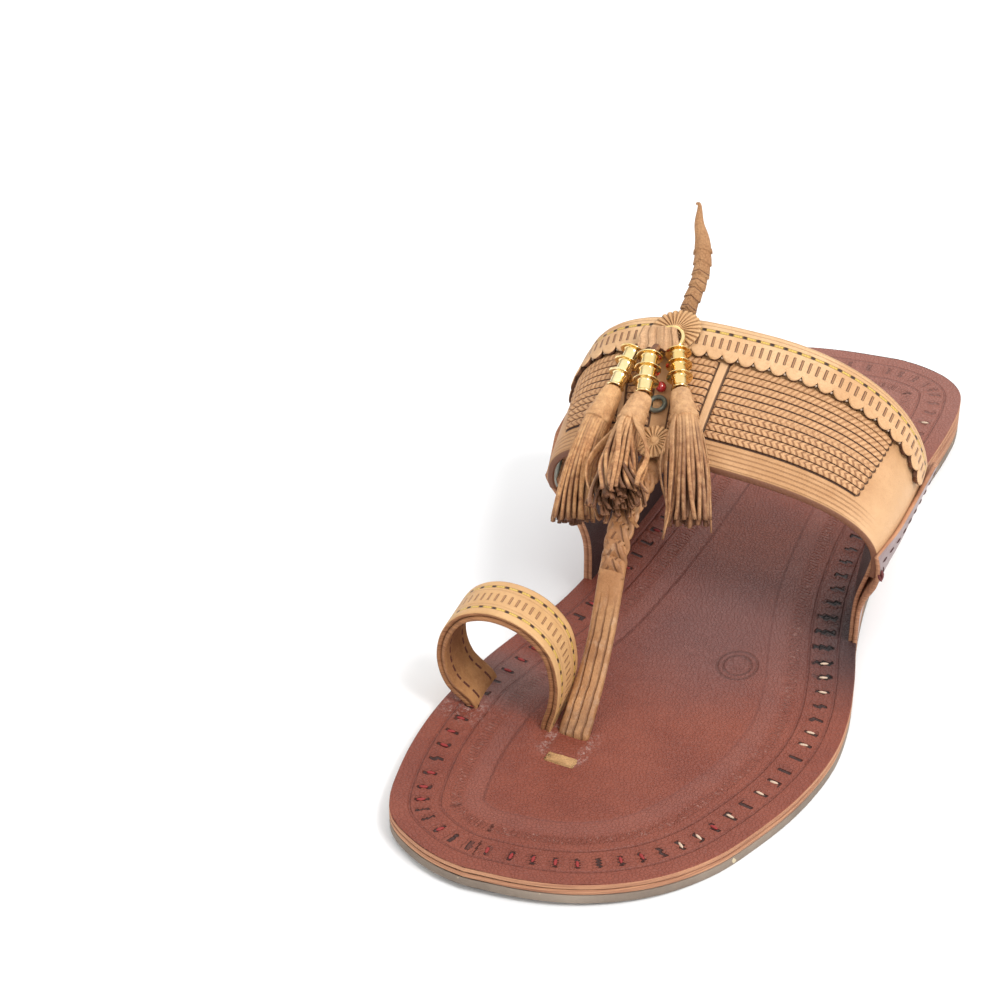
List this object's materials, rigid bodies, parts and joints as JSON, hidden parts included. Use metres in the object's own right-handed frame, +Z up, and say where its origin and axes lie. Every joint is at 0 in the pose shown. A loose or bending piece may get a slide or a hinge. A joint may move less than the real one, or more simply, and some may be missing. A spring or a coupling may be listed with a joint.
{
  "type": "kolhapuri sandal",
  "caption": "Flat open leather sandal: braided instep band between side flaps, thong, toe loop, tassels and horn, worn on the left foot.",
  "frame": {"origin": "centre of the sandal's bounding box, on the floor", "axes": "+Z up, toe towards -Y, heel towards +Y, little toe side towards +X"},
  "size_m": [0.1156, 0.282, 0.1046],
  "materials": {
    "rubber": "matt grey-brown sole rubber",
    "sole_leather": "raw light tan cut edge",
    "insole_leather": "maroon-brown grained, stitched with slits",
    "flap_leather": "maroon-grey grained",
    "band_leather": "tan rope-braided strips, scalloped overlay, gold thread",
    "loop_leather": "pale tan two-ply strap",
    "trim_leather": "pale tan pleats and fringe",
    "brass": "bright polished",
    "glass_bead": "glossy red"
  },
  "bodies": {
    "root": {"outsole": "rubber", "heel_lift": "sole_leather", "midsole": "sole_leather", "insole": "insole_leather", "flap_lateral": "flap_leather", "flap_medial": "flap_leather", "upper": "band_leather", "edge_strip": "band_leather", "toe_loop": "loop_leather", "thong_tab": "loop_leather", "rosette_top": "trim_leather", "rosette_low": "trim_leather", "horn": "trim_leather", "ring": "brass", "apron": "trim_leather", "cap_medial": "brass", "tassel_medial": "trim_leather", "cap_middle": "brass", "tassel_middle": "trim_leather", "cap_lateral": "brass", "tassel_lateral": "trim_leather", "eyelet": "brass", "bead": "glass_bead"}
  },
  "joints": []
}
